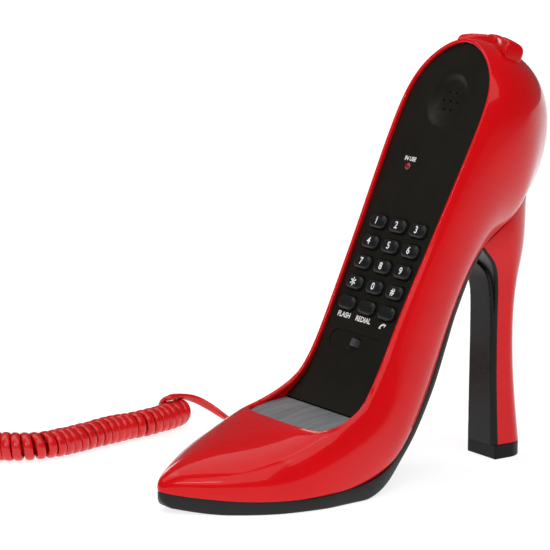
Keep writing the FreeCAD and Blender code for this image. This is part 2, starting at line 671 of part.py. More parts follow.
def main_board():
    body = new_body("main_board", at_face(0, 0, -D["board_top"] - D["board_thickness"]))
    outline = sketch_in(body, "Outline")
    add_rectangle(outline, "Dimensions.board_width", "Dimensions.board_low + Dimensions.board_high",
                  y="(Dimensions.board_high - Dimensions.board_low) / 2")
    pad(body, outline, "Dimensions.board_thickness")
    holes = sketch_in(body, "Holes")
    for side in ("-", ""):
        for height in ("-Dimensions.boss_low", "Dimensions.boss_high"):
            add_circle(holes, "Dimensions.screw_radius + 0.1", f"{side}Dimensions.boss_x", height)
    pocket(body, holes, "Dimensions.board_thickness", up=True)


def boxed(label, placement, width, length, height):
    body = new_body(label, placement)
    outline = sketch_in(body, "Outline")
    add_rectangle(outline, width, length)
    pad(body, outline, height)
    return body


def turned_body(label, placement, profile):
    body = new_body(label, placement)
    turned(body, profile)
    return body


BOARD_BACK = -D["board_top"] - D["board_thickness"]
keypad_mat()
main_board()
boxed("dial_chip", at_face(0, -4, BOARD_BACK - 3.2), "22", "12", "3.2")
capacitor = Part.makeCylinder(3.2, 9)
coded("capacitors", copies(capacitor, [Placement(Vector(x, -28, -9), Rotation()) for x in (-16, -8, 0, 8)]),
      at_face(0, 0, BOARD_BACK))
turned_body("ringer_disc", at_face(0, D["ringer_y"], BOARD_BACK - D["ringer_thickness"]),
            [("0", "0"), ("Dimensions.ringer_radius", "0"),
             ("Dimensions.ringer_radius", "Dimensions.ringer_thickness"), ("0", "Dimensions.ringer_thickness")])
ear_back = -D["dish_back"]
turned_body("speaker_gasket", at_face(0, D["dish_height"], ear_back - D["gasket_thickness"]),
            [("Dimensions.gasket_bore", "0"), ("Dimensions.speaker_radius", "0"),
             ("Dimensions.speaker_radius", "Dimensions.gasket_thickness"),
             ("Dimensions.gasket_bore", "Dimensions.gasket_thickness")])
turned_body("receiver_speaker",
            at_face(0, D["dish_height"], ear_back - D["gasket_thickness"] - D["speaker_thickness"]),
            [("0", "0"), ("Dimensions.speaker_radius - 4", "0"), ("Dimensions.speaker_radius - 4", "2"),
             ("Dimensions.speaker_radius", "2"),
             ("Dimensions.speaker_radius", "Dimensions.speaker_thickness"), ("0", "Dimensions.speaker_thickness")])
curl_angle = math.degrees(math.asin((D["mic_y"] - D["face_flat_end"]) / D["face_curl"]))
mic_face = at_face(0, -D["face_flat_end"], D["face_curl"], Rotation(Vector(1, 0, 0), -curl_angle)).multiply(
    Placement(Vector(0, 0, -D["face_curl"] - D["face_thickness"] - 0.1), Rotation()))
turned_body("microphone_boot", mic_face.multiply(Placement(Vector(0, 0, -D["mic_depth"]), Rotation())),
            [("0", "0"), ("Dimensions.mic_boot", "0"), ("Dimensions.mic_boot", "Dimensions.mic_depth"),
             ("Dimensions.mic_radius", "Dimensions.mic_depth"), ("Dimensions.mic_radius", "1.5"),
             ("0", "1.5")])
turned_body("microphone", mic_face.multiply(Placement(Vector(0, 0, 1.5 - D["mic_depth"]), Rotation())),
            [("0", "0"), ("Dimensions.mic_radius", "0"),
             ("Dimensions.mic_radius", "Dimensions.mic_thickness"), ("0", "Dimensions.mic_thickness")])


def in_use_led():
    body = new_body("in_use_led", at_face(-D["lamp_x"], D["lamp_y"], -D["board_top"]))
    turned(body, [("0", "0"), ("Dimensions.lamp_radius + 0.3", "0"), ("Dimensions.lamp_radius + 0.3", "1"),
                  ("Dimensions.lamp_radius", "1"), ("Dimensions.lamp_radius", "Dimensions.board_top + 0.2"),
                  ("Dimensions.lamp_radius * 0.7", "Dimensions.board_top + 0.8"),
                  ("0", "Dimensions.board_top + 1")])


in_use_led()
board_screw = Part.makeCylinder(D["screw_radius"], 6.0).fuse(cylinder(0, 0, -1.4, 2.2, 1.4))
BOARD_HOLES = [(side * D["boss_x"], y) for side in (-1, 1) for y in (-D["boss_low"], D["boss_high"])]
coded("board_screws", copies(board_screw, [Placement(Vector(x, y, 0), Rotation()) for x, y in BOARD_HOLES]),
      at_face(0, 0, BOARD_BACK))


# ---------------------------------------------------------------- slide switch
def slide_switch():
    body = boxed("slide_switch_body", at_face(0, -D["switch_y"], -D["board_top"]), "12", "7",
                 "Dimensions.board_top - Dimensions.face_thickness - 0.3")
    slot = sketch_in(body, "Slot", "Dimensions.board_top - Dimensions.face_thickness - 0.3")
    add_rectangle(slot, "6.4", "2.4")
    pocket(body, slot, "1.8")

    knob = boxed("switch_knob", at_face(0, -D["switch_y"], -2.3), "Dimensions.knob_width",
                 "Dimensions.knob_length", "3.9")
    stem = sketch_in(knob, "Stem")
    add_rectangle(stem, "2", "1.6")
    pad(knob, stem, "1.7", down=True)
    grooves = sketch_in(knob, "Grooves", "3.9")
    for i in (-1, 0, 1):
        add_rectangle(grooves, "0.4", "Dimensions.knob_length + 1", x=str(i * 1.05))
    pocket(knob, grooves, "0.4")


slide_switch()


# ---------------------------------------------------------------- tip, plates, ballast and their screws
def heel_tip():
    body = new_body("heel_tip")
    outline = sketch_in(body, "Outline")
    half, front, side, back = D["tip_width"] / 2, D["tip_front"], D["tip_side"], D["tip_back"]
    deep = back - side
    radius = (half ** 2 + deep ** 2) / (2 * deep)
    corners = [Vector(half, side, 0), Vector(-half, side, 0), Vector(-half, front, 0), Vector(half, front, 0)]
    outline.addGeometry(Part.Arc(corners[0], Vector(0, back, 0), corners[1]))
    for i in range(1, 4):
        outline.addGeometry(Part.LineSegment(corners[i], corners[(i + 1) % 4]))
    for i in range(4):
        outline.addConstraint(Sketcher.Constraint("Coincident", i, 2, (i + 1) % 4, 1))
    ends = [("Dimensions.tip_width / 2", "Dimensions.tip_side"),
            ("-Dimensions.tip_width / 2", "Dimensions.tip_side"),
            ("-Dimensions.tip_width / 2", "Dimensions.tip_front"),
            ("Dimensions.tip_width / 2", "Dimensions.tip_front")]
    for i, (x, y) in enumerate(ends):
        for kind, start, expression in (("DistanceX", corners[i].x, x), ("DistanceY", corners[i].y, y)):
            at = outline.addConstraint(Sketcher.Constraint(kind, -1, 1, i, 1, start))
            outline.setExpression(f"Constraints[{at}]", expression)
    outline.addConstraint(Sketcher.Constraint("Radius", 0, radius))
    pad(body, outline, "Dimensions.tip_height")
    head = sketch_in(body, "Head")
    add_circle(head, "3.6", y="87")
    pocket(body, head, "3", up=True)
    shank = sketch_in(body, "Shank")
    add_circle(shank, "1.6", y="87")
    pocket(body, shank, "Dimensions.tip_height", up=True)


heel_tip()
turned_body("tip_screw", Placement(Vector(0, 87, 0.6), Rotation()),
            [("0", "0"), ("3.3", "0"), ("3.3", "2.4"), ("1.5", "2.4"), ("1.5", "16"), ("0", "16")])


def heel_seat_plate():
    body = boxed("heel_seat_plate", SEAT, "15", "24", "Dimensions.seat_thickness")
    holes = sketch_in(body, "Holes")
    add_circle(holes, "1.6", y="-7")
    add_circle(holes, "1.6", y="7.5")
    pocket(body, holes, "Dimensions.seat_thickness", up=True)


heel_seat_plate()
heel_screw = cylinder(0, 0, -10, 1.5, 10 + D["seat_thickness"])
heel_screw = heel_screw.fuse(cylinder(0, 0, D["seat_thickness"], 2.9, 2))
coded("heel_screws", copies(heel_screw, HEEL_SCREWS))
sole_screw = cylinder(0, 0, -2.0, 1.5, 12).fuse(cylinder(0, 0, -3.6, 2.9, 1.6))
coded("sole_screws", copies(sole_screw, SOLE_SCREWS))


def toe_ballast():
    body = new_body("toe_ballast")
    outline = sketch_in(body, "Outline", "Dimensions.ballast_floor")
    add_polygon(outline, [("-Dimensions.ballast_front_width / 2", "-Dimensions.ballast_front"),
                          ("Dimensions.ballast_front_width / 2", "-Dimensions.ballast_front"),
                          ("Dimensions.ballast_back_width / 2", "-Dimensions.ballast_back"),
                          ("-Dimensions.ballast_back_width / 2", "-Dimensions.ballast_back")])
    pad(body, outline, "Dimensions.ballast_thickness")


toe_ballast()


# ---------------------------------------------------------------- line jack and plug
def line_jack():
    turn = Rotation(Vector(0, 1, 0), -90)
    back = Vector(-D["jack_face"] + D["jack_depth"], D["jack_y"], D["jack_z"])
    body = boxed("line_jack", Placement(back, turn), "Dimensions.jack_height", "Dimensions.jack_width",
                 "Dimensions.jack_depth")
    socket = sketch_in(body, "Socket", "Dimensions.jack_depth")
    add_rectangle(socket, "Dimensions.plug_height + 0.3", "Dimensions.plug_width + 0.3")
    pocket(body, socket, "Dimensions.plug_in + 0.4")
    out = D["jack_face"] - D["plug_in"] + D["plug_length"]
    plug = boxed("modular_plug", Placement(Vector(-out + D["plug_length"], D["jack_y"], D["jack_z"]), turn),
                 "Dimensions.plug_height", "Dimensions.plug_width", "Dimensions.plug_length")
    rounded(plug, plug.Tip, lambda e: abs(e.BoundBox.ZMin - D["plug_length"]) < 0.01, "0.8")
    print("plug end", -out)


line_jack()


# ---------------------------------------------------------------- cord
def rounded_route(points):
    """Straight runs joined by tangent arcs, as one wire."""
    points = [Vector(p) for p in points]
    runs = [points[i].distanceToPoint(points[i + 1]) for i in range(len(points) - 1)]
    edges, start, length = [], points[0], 0.0
    for i in range(1, len(points) - 1):
        back = (points[i - 1] - points[i]).normalize()
        ahead = (points[i + 1] - points[i]).normalize()
        half = (math.pi - back.getAngle(ahead)) / 2
        setback = 0.45 * min(runs[i - 1], runs[i])
        radius = setback / math.tan(half)
        enter, leave = points[i] + back * setback, points[i] + ahead * setback
        middle = points[i] + (back + ahead).normalize() * (radius / math.cos(half) - radius)
        edges += [Part.LineSegment(start, enter).toShape(), Part.Arc(enter, middle, leave).toShape()]
        length += start.distanceToPoint(enter) + radius * 2 * half
        print("  run %.1f turn %.0f radius %.1f" % (runs[i - 1], math.degrees(2 * half), radius))
        start = leave
    edges.append(Part.LineSegment(start, points[-1]).toShape())
    return Part.Wire(edges), length + start.distanceToPoint(points[-1])


def tube(label, points, diameter):
    route, length = rounded_route(points)
    first = Vector(points[1]) - Vector(points[0])
    end = Part.Wire(Part.makeCircle(diameter / 2, Vector(points[0]), first))
    solid = route.makePipeShell([end], True, False)
    expected = math.pi * diameter ** 2 / 4 * length
    print(label, "length %.1f volume %.0f expected %.0f" % (length, solid.Volume, expected))
    if abs(solid.Volume - expected) > 0.01 * expected:
        raise RuntimeError(f"{label}: the tube's volume is wrong")
    coded(label, solid)


tube("cord_lead", LEAD_ROUTE, D["wire_diameter"])
tube("cord_curls", CURL_ROUTE, D["curl_diameter"])
tube("cord_end_lead", END_ROUTE, D["wire_diameter"])
end, before_end = Vector(END_ROUTE[-1]), Vector(END_ROUTE[-2])
heading = math.degrees(math.atan2(end.y - before_end.y, end.x - before_end.x))
lying = Rotation(Vector(0, 0, 1), heading).multiply(Rotation(Vector(0, 1, 0), 90))
boxed("end_plug", Placement(end, lying), "Dimensions.plug_height", "Dimensions.plug_width",
      "Dimensions.plug_length")


# ---------------------------------------------------------------- bow
def bow_section(x, depth, low, high, forward):
    """Upright oval across a loop of the bow, with flattened sides."""
    points = []
    for i in range(12):
        c, s = math.cos(math.radians(30 * i)), math.sin(math.radians(30 * i))
        along = math.copysign(abs(c) ** 0.7, c) * depth / 2 - forward
        up = math.copysign(abs(s) ** 0.7, s) * (high - low) / 2 + (high + low) / 2
        points.append(Vector(x, along, up))
    return Part.Wire(spline(points, closed=True).toShape())


BOW = Placement(Vector(0, D["bow_y"], D["bow_z"]), Rotation(Vector(1, 0, 0), D["bow_slope"]))
bow_bed = solid_between(outer_skin, inner_skin).transformed(BOW.inverse().toMatrix(), True)


def bow_loop(side):
    """A loop from the knot, widening and sinking round the heel counter to its flat end."""
    end_x, depth, lean = D["bow_half_width"], D["bow_depth"], D["bow_lean"]
    wires = []
    for part, wide, low, high in ((0.22, 0.55, -1.5, 3.8), (0.5, 0.76, -3.6, 3.4), (0.76, 0.92, -6.0, 2.5),
                                  (0.97, 1.0, -8.4, 1.4), (1.0, 0.9, -7.6, 0.8)):
        wires.append(bow_section(side * end_x * part, depth * wide, low, high, lean * part))
    return largest(Part.makeLoft(wires, True, False).cut(bow_bed))


coded("bow_loop_right", bow_loop(1), BOW)
coded("bow_loop_left", bow_loop(-1), BOW)
knot_solid = rounded_box(0, 0, -1.5, D["knot_width"], D["knot_depth"], D["knot_height"] + 1.5, 2.0)
coded("bow_knot", largest(knot_solid.cut(bow_bed)), BOW)

# ---------------------------------------------------------------- check and write
doc.recompute()
os.makedirs("parts", exist_ok=True)
for obj in doc.Objects:
    if "Invalid" in obj.State or "Error" in obj.State:
        raise RuntimeError(f"{obj.Label}: {obj.State}")
for obj in parts:
    if obj.Shape.isNull() or not obj.Shape.isValid() or not obj.Shape.Solids:
        raise RuntimeError(f"{obj.Label}: bad shape")
for obj in parts:
    obj.Shape.exportStep(f"parts/{obj.Label}.step")
print(len(parts), "sub-parts")
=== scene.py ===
"""A telephone in the shape of a red patent court shoe, in a white studio.

The keys and the printing are placed from the frame. The upper, the sole, the heel and the bow, which the CAD
draws coarsely, are rebuilt as smooth skins from measures repeated here, with a few changes that follow the
photograph. MM turns millimetres into metres.
"""

import json
import math

import bmesh
import bpy
import numpy as np
from mathutils import Matrix, Vector

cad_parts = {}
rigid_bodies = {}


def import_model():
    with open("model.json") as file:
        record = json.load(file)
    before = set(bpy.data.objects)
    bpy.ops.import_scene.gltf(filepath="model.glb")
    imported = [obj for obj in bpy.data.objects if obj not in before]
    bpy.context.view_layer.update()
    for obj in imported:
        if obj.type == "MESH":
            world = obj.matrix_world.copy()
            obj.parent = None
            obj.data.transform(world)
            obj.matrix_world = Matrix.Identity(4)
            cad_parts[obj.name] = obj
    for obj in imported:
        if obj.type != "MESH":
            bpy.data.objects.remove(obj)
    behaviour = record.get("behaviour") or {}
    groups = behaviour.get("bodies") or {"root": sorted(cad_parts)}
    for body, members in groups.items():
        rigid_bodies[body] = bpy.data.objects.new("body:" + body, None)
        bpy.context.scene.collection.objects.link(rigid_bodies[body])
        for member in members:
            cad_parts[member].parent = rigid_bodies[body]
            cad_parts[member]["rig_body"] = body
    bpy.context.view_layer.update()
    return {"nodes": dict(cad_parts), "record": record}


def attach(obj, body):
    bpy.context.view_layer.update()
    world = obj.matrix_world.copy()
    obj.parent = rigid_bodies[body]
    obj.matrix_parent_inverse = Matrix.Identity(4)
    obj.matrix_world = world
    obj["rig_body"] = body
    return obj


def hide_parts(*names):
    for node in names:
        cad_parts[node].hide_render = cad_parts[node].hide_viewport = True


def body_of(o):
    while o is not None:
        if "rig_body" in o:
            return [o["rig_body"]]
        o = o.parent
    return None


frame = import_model()
MM = 0.001
SHOE = "shoe"


# ---------------------------------------------------------------- camera
def aim(obj, target):
    obj.rotation_euler = (Vector(target) - obj.location).to_track_quat("-Z", "Y").to_euler()


def add_camera():
    data = bpy.data.cameras.new("camera")
    data.lens = 196.36
    data.sensor_width = 36
    data.clip_end = 20
    camera = bpy.data.objects.new("camera", data)
    camera.location = (1.1563, -0.8409, 0.3821)
    aim(camera, (-0.0004, -0.0497, 0.1069))
    bpy.context.collection.objects.link(camera)
    bpy.context.scene.camera = camera


add_camera()


# ---------------------------------------------------------------- node materials
def new_material(name, colour, roughness, **sockets):
    material = bpy.data.materials.new(name)
    material.use_nodes = True
    shader = material.node_tree.nodes["Principled BSDF"]
    shader.inputs["Base Color"].default_value = (*colour, 1)
    shader.inputs["Roughness"].default_value = roughness
    for socket, value in sockets.items():
        shader.inputs[socket.replace("_", " ")].default_value = value
    return material


def noise_node(material, scale, detail=3.0, stretch=(1, 1, 1)):
    nodes, links = material.node_tree.nodes, material.node_tree.links
    place = nodes.new("ShaderNodeTexCoord")
    mapping = nodes.new("ShaderNodeMapping")
    mapping.inputs["Scale"].default_value = stretch
    noise = nodes.new("ShaderNodeTexNoise")
    noise.inputs["Scale"].default_value = scale
    noise.inputs["Detail"].default_value = detail
    links.new(place.outputs["Object"], mapping.inputs["Vector"])
    links.new(mapping.outputs["Vector"], noise.inputs["Vector"])
    return noise.outputs["Fac"]


def map_range(material, value, low, high, start=0.3, end=0.7):
    node = material.node_tree.nodes.new("ShaderNodeMapRange")
    node.inputs["From Min"].default_value = start
    node.inputs["From Max"].default_value = end
    node.inputs["To Min"].default_value = low
    node.inputs["To Max"].default_value = high
    material.node_tree.links.new(value, node.inputs["Value"])
    return node.outputs["Result"]


def vary_colour(material, fac, one, other):
    node = material.node_tree.nodes.new("ShaderNodeMix")
    node.data_type = "RGBA"
    node.inputs["A"].default_value = (*one, 1)
    node.inputs["B"].default_value = (*other, 1)
    links = material.node_tree.links
    links.new(fac, node.inputs["Factor"])
    links.new(node.outputs["Result"], material.node_tree.nodes["Principled BSDF"].inputs["Base Color"])


def vary_roughness(material, fac, low, high):
    shader = material.node_tree.nodes["Principled BSDF"]
    material.node_tree.links.new(map_range(material, fac, low, high), shader.inputs["Roughness"])


def add_bump(material, height, distance, strength=1.0):
    node = material.node_tree.nodes.new("ShaderNodeBump")
    node.inputs["Distance"].default_value = distance
    node.inputs["Strength"].default_value = strength
    links = material.node_tree.links
    links.new(height, node.inputs["Height"])
    links.new(node.outputs["Normal"], material.node_tree.nodes["Principled BSDF"].inputs["Normal"])


def shaded(tone, factor):
    return tuple(c * factor for c in tone)


def moulded(name, colour, roughness, grain=0.00002, grain_scale=2500, vary=0.12, **sockets):
    """Moulded plastic or rubber: slightly uneven in colour and gloss, with a fine grain."""
    material = new_material(name, colour, roughness, **sockets)
    clouds = noise_node(material, 60, 4)
    vary_colour(material, map_range(material, clouds, 0, 1), shaded(colour, 1 - vary), shaded(colour, 1 + vary))
    vary_roughness(material, noise_node(material, 300, 5), roughness * 0.85, min(1, roughness * 1.15))
    add_bump(material, noise_node(material, grain_scale, 2), grain, 0.6)
    return material


def lacquered(name, colour):
    """Patent finish: deep colour under a clear coat with a trace of ripple."""
    material = new_material(name, colour, 0.35, Coat_Weight=1.0, Coat_Roughness=0.06, Coat_IOR=1.28,
                            Specular_IOR_Level=0.05)
    vary_colour(material, map_range(material, noise_node(material, 25, 3), 0, 1), shaded(colour, 0.94),
                shaded(colour, 1.05))
    vary_roughness(material, noise_node(material, 180, 5), 0.26, 0.36)
    add_bump(material, noise_node(material, 45, 2), 0.00005, 0.3)
    return material


def brushed(name, colour, roughness):
    """Plastic with faint streaks from the toe to the heel."""
    material = new_material(name, colour, roughness)
    streaks = noise_node(material, 420, 4, (1, 0.08, 0.08))
    vary_colour(material, map_range(material, streaks, 0, 1), shaded(colour, 0.7), shaded(colour, 1.3))
    vary_roughness(material, noise_node(material, 200, 4), roughness * 0.8, roughness * 1.2)
    add_bump(material, streaks, 0.00004, 0.5)
    return material


def metal(name, colour, roughness, stretch=(1, 1, 20)):
    material = new_material(name, colour, roughness, Metallic=1.0)
    vary_roughness(material, noise_node(material, 900, 4, stretch), roughness * 0.7, roughness * 1.4)
    add_bump(material, noise_node(material, 1600, 3, stretch), 0.00002, 0.5)
    return material


RED = (0.71, 0.003, 0.006)
MATERIALS = {
    "red_gloss": lacquered("red_patent", RED),
    "black_sole": moulded("sole_black", (0.009, 0.009, 0.01), 0.42, 0.00003, 1500, Specular_IOR_Level=0.3),
    "black_gloss": moulded("breast_black", (0.006, 0.006, 0.006), 0.26, 0.000004, 900, Specular_IOR_Level=0.2),
    "tip_rubber": moulded("tip_black", (0.006, 0.006, 0.006), 0.42, 0.00003, 1800, Specular_IOR_Level=0.15),
    "black_satin": moulded("face_black", (0.0095, 0.008, 0.0055), 0.42, 0.00003, 3500, Specular_IOR_Level=0.16),
    "grey_satin": brushed("footbed_grey", (0.19, 0.2, 0.205), 0.4),
    "key_grey": moulded("key_grey", (0.009, 0.0095, 0.010), 0.3, 0.00001, 3000, Specular_IOR_Level=0.28),
    "silicone": moulded("silicone_grey", (0.25, 0.25, 0.27), 0.6),
    "board_green": moulded("board_green", (0.02, 0.16, 0.06), 0.4),
    "component_black": moulded("component_black", (0.02, 0.02, 0.02), 0.5),
    "can_aluminium": metal("can_aluminium", (0.8, 0.81, 0.83), 0.3),
    "lamp_lens": moulded("lamp_red", (0.24, 0.004, 0.006), 0.15, 0.000004, 900, Coat_Weight=0.4),
    "zinc_steel": metal("zinc_steel", (0.7, 0.7, 0.68), 0.32),
    "knob_grey": moulded("knob_grey", (0.07, 0.07, 0.075), 0.5, 0.00002, 3000),
    "plate_steel": metal("plate_steel", (0.62, 0.62, 0.64), 0.35, (20, 1, 1)),
    "ballast_iron": metal("ballast_iron", (0.2, 0.2, 0.21), 0.7, (1, 1, 1)),
    "plug_clear": moulded("plug_clear", (0.75, 0.78, 0.78), 0.12, 0.00001, 900, Transmission_Weight=0.75,
                          IOR=1.5),
    "cord_red": moulded("cord_red", (0.68, 0.006, 0.008), 0.3, 0.000006, 1200, vary=0.05, Coat_Weight=0.5,
                        Coat_Roughness=0.1, Specular_IOR_Level=0.25),
}
PRINT_WHITE = moulded("print_white", (0.9, 0.9, 0.89), 0.55, 0.000004, 3000, vary=0.05)
SLOT_OF = {entry["node"]: entry["material_slot"] for entry in frame["record"]["subparts"]}


# ---------------------------------------------------------------- mesh helpers
def add_piece(name, mesh, slot, body=SHOE, replaces=()):
    piece = bpy.data.objects.new(name, mesh)
    bpy.context.collection.objects.link(piece)
    mesh.materials.clear()
    mesh.materials.append(MATERIALS[slot])
    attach(piece, body)
    if replaces:
        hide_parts(*replaces)
    return piece


def smooth_mesh(name, vertices, faces, sharp_angle=None):
    mesh = bpy.data.meshes.new(name)
    mesh.from_pydata([tuple(v) for v in np.asarray(vertices) * MM], [], faces)
    mesh.polygons.foreach_set("use_smooth", [True] * len(mesh.polygons))
    outward_faces(mesh)
    if sharp_angle:
        mesh.set_sharp_from_angle(angle=math.radians(sharp_angle))
    return mesh


def outward_faces(mesh):
    bm = bmesh.new()
    bm.from_mesh(mesh)
    bmesh.ops.recalc_face_normals(bm, faces=bm.faces)
    bm.to_mesh(mesh)
    bm.free()


def grid_faces(rows, columns, wrap=False):
    """Quads of a grid whose vertices run row by row; wrap joins the last column to the first."""
    faces = []
    for r in range(rows - 1):
        for c in range(columns if wrap else columns - 1):
            d = (c + 1) % columns
            faces.append((r * columns + c, r * columns + d, (r + 1) * columns + d, (r + 1) * columns + c))
    return faces


def closed_loft(name, rings, sharp_angle=None):
    """A solid through closed rings of equally many points, with a cap at each end."""
    rings = np.asarray(rings)
    count, around = rings.shape[:2]
    faces = grid_faces(count, around, wrap=True)
    faces += [tuple(range(around)), tuple(range((count - 1) * around, count * around))]
    return smooth_mesh(name, rings.reshape(-1, 3), faces, sharp_angle)


def refined(node, width, sharp=32):
    """The CAD's own shape, with its edges softly rounded and its flat faces shaded flat."""
    source = frame["nodes"][node]
    mesh = source.data.copy()
    bm = bmesh.new()
    bm.from_mesh(mesh)
    bmesh.ops.remove_doubles(bm, verts=bm.verts, dist=0.00001)
    bmesh.ops.dissolve_limit(bm, angle_limit=math.radians(0.3), verts=bm.verts, edges=bm.edges)
    bm.to_mesh(mesh)
    bm.free()
    mesh.polygons.foreach_set("use_smooth", [True] * len(mesh.polygons))
    mesh.set_sharp_from_angle(angle=math.radians(sharp))
    piece = add_piece(node + "_detail", mesh, SLOT_OF[node], body_of(source)[0], (node,))
    bevel = piece.modifiers.new("edges", "BEVEL")
    bevel.width = width * MM
    bevel.segments = 2
    bevel.limit_method = "ANGLE"
    bevel.angle_limit = math.radians(sharp)
    bevel.harden_normals = True
    return piece


# ---------------------------------------------------------------- curves through points
def periodic_spline(points):
    """Twice smooth closed curve through points, one unit of t apart."""
    points = np.asarray(points, float)
    count = len(points)
    system = 4 * np.eye(count) + np.roll(np.eye(count), 1, 0) + np.roll(np.eye(count), -1, 0)
    ahead, behind = np.roll(points, -1, 0), np.roll(points, 1, 0)
    bends = np.linalg.solve(system, (6 * (ahead - 2 * points + behind)).reshape(count, -1))
    bends = bends.reshape(points.shape)

    def value(t):
        i = np.floor(t).astype(int) % count
        j = (i + 1) % count
        u = (t - np.floor(t)).reshape(-1, *([1] * (points.ndim - 1)))
        w = 1 - u
        return w * points[i] + u * points[j] + ((w ** 3 - w) * bends[i] + (u ** 3 - u) * bends[j]) / 6

    return value


def open_spline(xs, ys):
    """Twice smooth curve y(x) through points, straight at both ends."""
    xs, ys = np.asarray(xs, float), np.asarray(ys, float)
    count, gaps = len(xs), np.diff(xs)
    system, right = np.eye(count), np.zeros(ys.shape)
    for i in range(1, count - 1):
        system[i, i - 1:i + 2] = gaps[i - 1], 2 * (gaps[i - 1] + gaps[i]), gaps[i]
        right[i] = 6 * ((ys[i + 1] - ys[i]) / gaps[i] - (ys[i] - ys[i - 1]) / gaps[i - 1])
    bends = np.linalg.solve(system, right)

    def value(x):
        x = np.clip(np.asarray(x, float), xs[0], xs[-1])
        i = np.clip(np.searchsorted(xs, x, side="right") - 1, 0, count - 2)
        gap, low, high = gaps[i], x - xs[i], xs[i + 1] - x
        shape = (-1,) + (1,) * (ys.ndim - 1)
        if np.ndim(x) and ys.ndim > 1:
            gap, low, high = gap.reshape(shape), low.reshape(shape), high.reshape(shape)
        straight = (ys[i] * high + ys[i + 1] * low) / gap
        bent = bends[i] * (high ** 3 / gap - gap * high) + bends[i + 1] * (low ** 3 / gap - gap * low)
        return straight + bent / 6

    return value


def smooth_step(value, low, high):
    share = min(1.0, max(0.0, (value - low) / (high - low)))
    return share * share * (3 - 2 * share)


# ---------------------------------------------------------------- line cord
# The wire is flat: its wide side lies along the curls' axis, and level on the straight stretches.
WIRE_WIDE, WIRE_THICK = 4.8, 2.7
CURL_DIAMETER, CURL_PITCH = 14.5, 5.0
LEAD_TWIST = 1.1  # radians, where the lead is turned most
# How far the first turn stands out, lies over the next turns and rises; then the wire's lowest height.
FIRST_REACH, FIRST_AHEAD, FIRST_RISE = 0.45, 14.0, 1.1
WIRE_LOWEST = 1.55
# The points are part.py's, but for the lead's last five and the curls' first, which follow the photograph.
LEAD_ROUTE = [(-43, -22, 17), (-57, -21.5, 15), (-74, -15, 5.5), (-92, -5, 1.8), (-110, 3, 2.2),
              (-122, 3, 4.4), (-130, -3, 10.5), (-135.5, -11, 15.6), (-137, -20, 17.2)]
CURL_ROUTE = [(-138.5, -12.5, 8.2), (-129, -35, 7.3), (-127, -66, 7.3), (-118, -96, 7.3), (-118.5, -119, 7.3),
              (-136, -137, 7.3), (-162, -147, 7.3), (-186, -146, 7.3)]
END_ROUTE = [(-187, -147, 12.8), (-187.5, -134, 11), (-189, -118, 3.2), (-196, -102, 1.8), (-209, -90, 2.4),
             (-222, -84, 3.3)]


def spline_points(route, spacing=0.8):
    """Evenly spaced points along the NURBS curve that a route controls."""
    data = bpy.data.curves.new("route", "CURVE")
    data.dimensions = "3D"
    data.resolution_u = 40
    spline = data.splines.new("NURBS")
    spline.points.add(len(route) - 1)
    for point, place in zip(spline.points, route):
        point.co = (*place, 1)
    spline.order_u = 3
    spline.use_endpoint_u = True
    holder = bpy.data.objects.new("route", data)
    mesh = bpy.data.meshes.new_from_object(holder)
    points = np.array([v.co[:] for v in mesh.vertices])
    bpy.data.objects.remove(holder)
    bpy.data.curves.remove(data)
    bpy.data.meshes.remove(mesh)
    return even(points, spacing)


def steps_along(path):
    return np.r_[0, np.cumsum(np.linalg.norm(np.diff(path[:, :3], axis=0), axis=1))]


def even(path, spacing):
    """The same path with its points a fixed distance apart; columns after the third are carried along."""
    steps = steps_along(path)
    count = max(2, int(round(steps[-1] / spacing)) + 1)
    at = np.linspace(0, steps[-1], count)
    return np.stack([np.interp(at, steps, column) for column in path.T], 1)


def straight_stretch(route, like, twist=0.0):
    """Points of an uncurled stretch, each with the direction of the wire's wide side: level but for a twist."""
    points = spline_points(route)
    ahead = np.gradient(points, axis=0)
    ahead /= np.linalg.norm(ahead, axis=1)[:, None]
    wide = np.cross(ahead, (0, 0, 1))
    wide /= np.linalg.norm(wide, axis=1)[:, None]
    if np.dot(wide[0], like) < 0:
        wide = -wide
    turned = twist * np.sin(math.pi * np.linspace(0, 1, len(points)) ** 4)[:, None]
    wide = wide * np.cos(turned) + np.cross(ahead, wide) * np.sin(turned)
    return np.hstack([points, wide])


def curls():
    """The wire's helix round the curls' axis, from the top of the first turn to the top of the last."""
    axis = spline_points(CURL_ROUTE, 0.1)
    radius = (CURL_DIAMETER - WIRE_THICK) / 2
    turns = round(steps_along(axis)[-1] / CURL_PITCH)
    per_turn = 28
    count = turns * per_turn
    rng = np.random.default_rng(4)
    swells = 0.045 * np.convolve(rng.normal(0, 1, turns + 8), np.ones(2) / 2, "same")
    leans = 1.1 * np.convolve(rng.normal(0, 1, turns + 8), np.ones(3) / 3, "same")
    points = []
    for k in range(count + 1):
        turn = k / per_turn
        # the first turn lies over the next three
        first = max(0.0, 1 - turn)
        # the turns lie close, with a few of them pulled slightly apart
        along = k / count + 0.004 * math.sin(turn * 0.9) + 0.0025 * math.sin(turn * 0.37 + 1)
        i = min(max(int(along * (len(axis) - 2)), 1), len(axis) - 2)
        ahead = axis[i + 1] - axis[i - 1]
        ahead /= np.linalg.norm(ahead)
        side = np.cross((0, 0, 1), ahead)
        up = np.cross(ahead, side)
        angle = 2 * math.pi * turn
        share = turn % 1
        swell = swells[int(turn)] * (1 - share) + swells[int(turn) + 1] * share
        lean = leans[int(turn)] * (1 - share) + leans[int(turn) + 1] * share
        reach = radius * (1 + min(0.03, swell) + FIRST_REACH * first ** 2)
        shift = lean * math.cos(angle) + FIRST_AHEAD * first ** 1.5
        place = axis[i] + up * reach * math.cos(angle) - side * reach * math.sin(angle) + ahead * shift
        place[2] = max(place[2] + FIRST_RISE * first, WIRE_LOWEST)
        points.append((*place, *ahead))
    return np.array(points)


